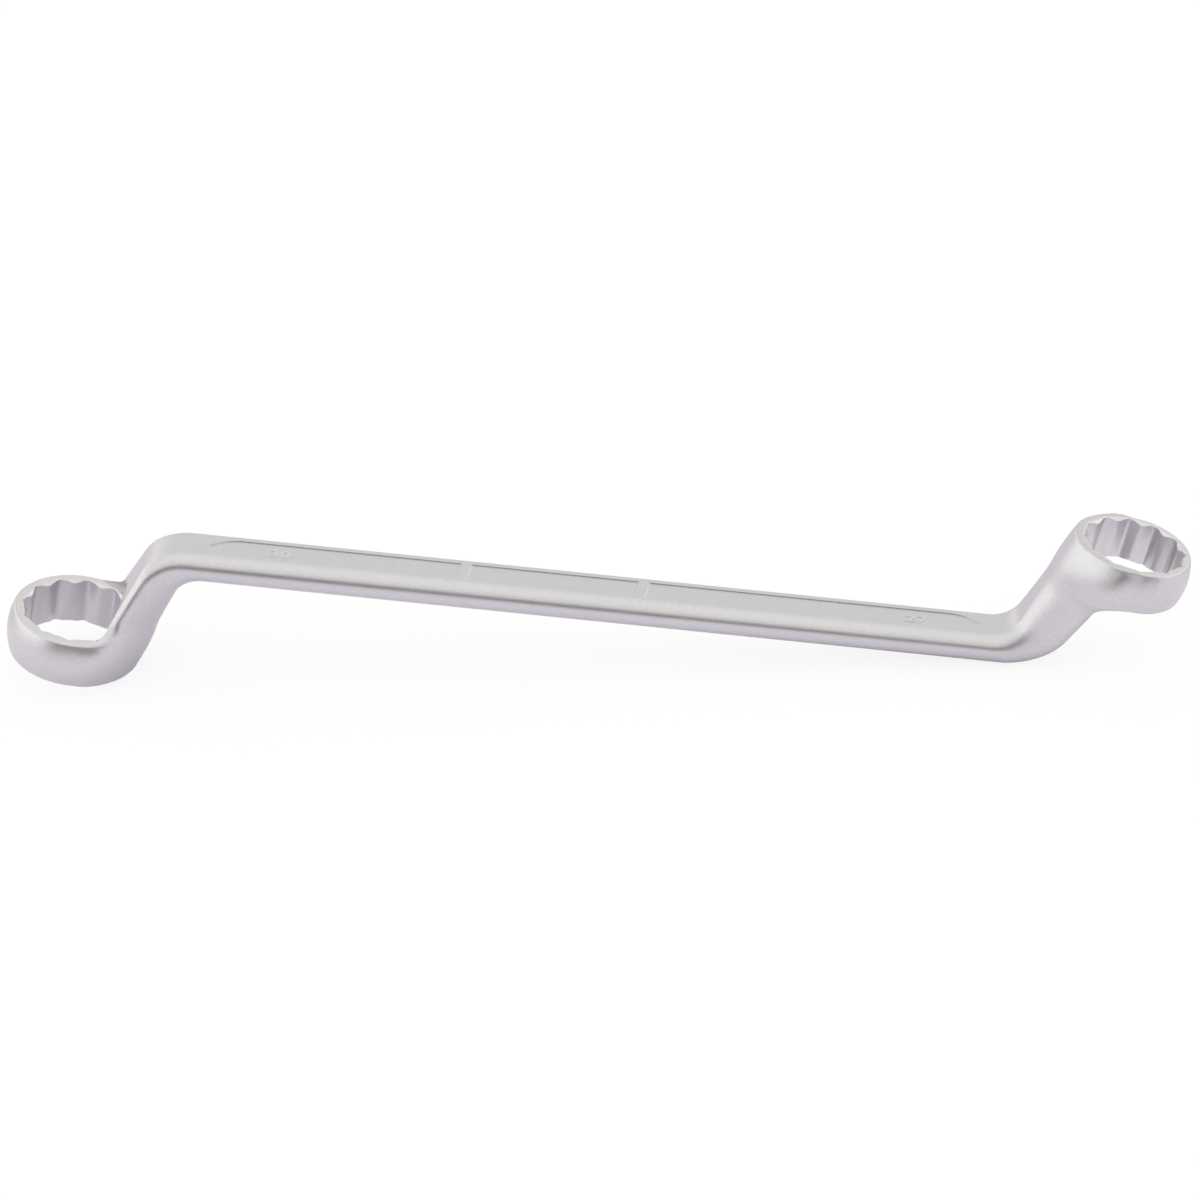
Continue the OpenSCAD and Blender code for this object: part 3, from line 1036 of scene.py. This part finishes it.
class SPANNER_OT_shank(Operator):
    """Makes the shank with its sunken panels"""

    bl_idname = "spanner.shank"
    bl_label = "Shank"

    def execute(self, context):
        whole = forging(context)
        small, large = whole.small, whole.large
        out = section(small.shank_width / 2, small.shank_thick / 2)
        around = len(out)
        at = np.linspace(-large.shank_end, small.shank_end, SHANK_SECTIONS + 1)
        points = np.array([np.c_[np.full(around, x), out] for x in at]).reshape(-1, 3)
        faces = tube(SHANK_SECTIONS + 1, around)
        faces.append(tuple(range(around - 1, -1, -1)))
        faces.append(tuple(range(SHANK_SECTIONS * around, (SHANK_SECTIONS + 1) * around)))
        mesh = new_mesh("shank_body", points, faces, whole.ways["small"])
        mesh.materials.append(satin_metal(context.scene.spanner_finish))
        shade(mesh)
        piece = new_piece(mesh.name, mesh, ["shank"])
        self.sink_panels(context, piece, whole)
        shade(piece.data, sharp=25)
        return {"FINISHED"}

    def sink_panels(self, context, piece, whole):
        """Cuts the three panels into the shank's upper face."""
        cutter_mesh = self.panel_cutter(whole)
        cutter = new_object("panel_cutter", cutter_mesh)
        cut = piece.modifiers.new("panels", "BOOLEAN")
        cut.operation = "DIFFERENCE"
        cut.solver = "EXACT"
        cut.object = cutter
        shaped = baked(context, piece)
        piece.modifiers.clear()
        if len(shaped.polygons) in (0, len(piece.data.polygons)):
            raise RuntimeError("the panels could not be cut")
        work = bmesh.new()
        work.from_mesh(shaped)
        bmesh.ops.remove_doubles(work, verts=work.verts, dist=WELD_GAP * MM)
        bmesh.ops.dissolve_degenerate(work, dist=WELD_GAP / 2 * MM, edges=work.edges)
        bmesh.ops.triangulate(work, faces=[f for f in work.faces if len(f.verts) > 4])
        work.to_mesh(shaped)
        work.free()
        plain = piece.data
        piece.data = shaped
        bpy.data.meshes.remove(plain)
        shaped.name = piece.name
        bpy.data.objects.remove(cutter)
        bpy.data.meshes.remove(cutter_mesh)

    def panel_cutter(self, whole):
        """Three tapered plugs in the shape of the panels."""
        bar = whole.small
        top, depth = bar.shank_thick / 2, bar.panel_depth
        slack = 0.1
        wall, land = math.tan(bar.panel_draft), math.tan(bar.land_draft)
        points, faces = [], []
        for panel in PANELS:
            low = panel_outline(whole, panel, 0, -depth * land)
            high = panel_outline(whole, panel, (depth + slack) * wall, slack * land)
            count = len(low)
            base = len(points)
            points += [(x, y, top - depth) for x, y in low] + [(x, y, top + slack) for x, y in high]
            faces.append([base + i for i in range(count)][::-1])
            faces.append([base + count + i for i in range(count)])
            for i in range(count):
                j = (i + 1) % count
                faces.append([base + i, base + j, base + count + j, base + count + i])
        return new_mesh("panel_cutter", points, faces, whole.ways["small"])


class SPANNER_OT_stage(Operator):
    """Makes the floor, the light and the camera"""

    bl_idname = "spanner.stage"
    bl_label = "Stage"

    def execute(self, context):
        stage = context.scene.spanner_stage
        self.camera(context, stage)
        self.floor(stage)
        self.light(context, stage)
        context.scene.view_settings.view_transform = "Standard"
        return {"FINISHED"}

    def camera(self, context, stage):
        """Camera at the photograph's viewing angle."""
        turn, rise = stage.view_azimuth, stage.view_elevation
        back = Vector((math.sin(turn) * math.cos(rise), -math.cos(turn) * math.cos(rise), math.sin(rise)))
        data = bpy.data.cameras.new("camera")
        data.lens = stage.lens
        data.sensor_width = stage.sensor
        data.sensor_fit = "HORIZONTAL"
        camera = new_object("camera", data)
        camera.rotation_mode = "QUATERNION"
        camera.location = Vector(stage.view_aim) + back * stage.view_distance
        look = (-back).to_track_quat("-Z", "Y").to_matrix().to_4x4()
        camera.rotation_quaternion = (look @ Matrix.Rotation(stage.view_roll, 4, "Z")).to_quaternion()
        context.scene.camera = camera

    def floor(self, stage):
        """White paper to the camera, and in the metal a pale cloth with painted shade in front of and behind
        the spanner.
        """
        mesh = bpy.data.meshes.new("floor")
        half = stage.floor_half
        corners = [(-half, -half, 0), (half, -half, 0), (half, half, 0), (-half, half, 0)]
        mesh.from_pydata(corners, [], [(0, 1, 2, 3)])
        material = bpy.data.materials.new("floor")
        board = Board(material)
        place = board.node("TexCoord", None, None, "Object")
        tint = varied(board, board.noise(place, scale=3), stage.floor, spread=0.01)
        depth = board.axes(place)[1]
        # Painted shade: as the metal reflects it, the floor is darkened behind and in front of the spanner.
        back = board.ramp(depth, stage.back_edge, stage.back_end)
        tint = board.mix(back, tint, toned(stage.floor, stage.back_level))
        front = board.ramp(-1 * depth, stage.front_edge, stage.front_end)
        tint = board.mix(front, tint, toned(stage.floor, stage.front_level))
        seen = board.node("LightPath", None, None, "Is Camera Ray")
        cloth = board.node("BsdfDiffuse", None, {"Color": tint})
        lit = board.node("BsdfDiffuse", None, {"Color": toned(stage.paper, 1)})
        plain = board.node("Emission", None, {"Color": toned(stage.paper, 1), "Strength": 1.0})
        paper = board.node("MixShader", None, {0: stage.paper_glow, 1: lit, 2: plain})
        shader = board.node("MixShader", None, {0: seen, 1: cloth, 2: paper})
        board.node("OutputMaterial", None, {"Surface": shader})
        mesh.materials.append(material)
        floor = new_object("floor", mesh)

    def light(self, context, stage):
        """Soft studio light from all round, with bright sides and a dim stretch behind the camera."""
        world = bpy.data.worlds.new("studio")
        context.scene.world = world
        board = Board(world)
        way = board.node("TexCoord", None, None, "Generated")
        x, y, z = board.axes(way)
        behind = board.ramp(-1 * y, low=0.6, high=0.95)
        ahead = board.ramp(y, low=0.1, high=0.6)
        right = board.ramp(x, low=0.3, high=0.8)
        left = board.ramp(-1 * x, low=0.3, high=0.8)
        top = board.ramp(z, low=0.5, high=0.95)
        dim = board.hump(z, stage.dim_height, stage.dim_spread)
        low = board.hump(z, stage.side_height, stage.side_spread)
        aside = stage.side_gain * low * (right * stage.side_right + left)
        level = 1 - stage.dim_amount * dim * behind - stage.far_loss * ahead + aside
        level = stage.level * (level + stage.top_gain * top)
        shader = board.node("Background", None, {"Color": toned(stage.light, 1), "Strength": level})
        board.node("OutputWorld", None, {"Surface": shader})


GROUPS = {"spanner_sizes": SpannerSizes, "spanner_finish": SpannerFinish, "spanner_stage": SpannerStage}
OPERATORS = (SPANNER_OT_rings, SPANNER_OT_necks, SPANNER_OT_shank, SPANNER_OT_marks, SPANNER_OT_stage)


class SPANNER_PT_sidebar(Panel):
    """Lists the spanner's operators, sizes, finish and stage in the sidebar"""

    bl_idname = "SPANNER_PT_sidebar"
    bl_label = "Ring Spanner"
    bl_space_type = "VIEW_3D"
    bl_region_type = "UI"
    bl_category = "Spanner"

    def draw(self, context):
        for operator in OPERATORS:
            self.layout.operator(operator.bl_idname)
        for name, group in GROUPS.items():
            box = self.layout.box()
            for key in group.__annotations__:
                box.prop(getattr(context.scene, name), key)


CLASSES = (*GROUPS.values(), *OPERATORS, SPANNER_PT_sidebar)


def register():
    for cls in CLASSES:
        bpy.utils.register_class(cls)
    for name, group in GROUPS.items():
        setattr(bpy.types.Scene, name, PointerProperty(type=group))


def unregister():
    for name in GROUPS:
        delattr(bpy.types.Scene, name)
    for cls in reversed(CLASSES):
        bpy.utils.unregister_class(cls)


def main():
    register()
    bpy.ops.spanner.rings()
    bpy.ops.spanner.necks()
    bpy.ops.spanner.shank()
    bpy.ops.spanner.marks()
    bpy.ops.spanner.stage()


if __name__ == "__main__":
    main()
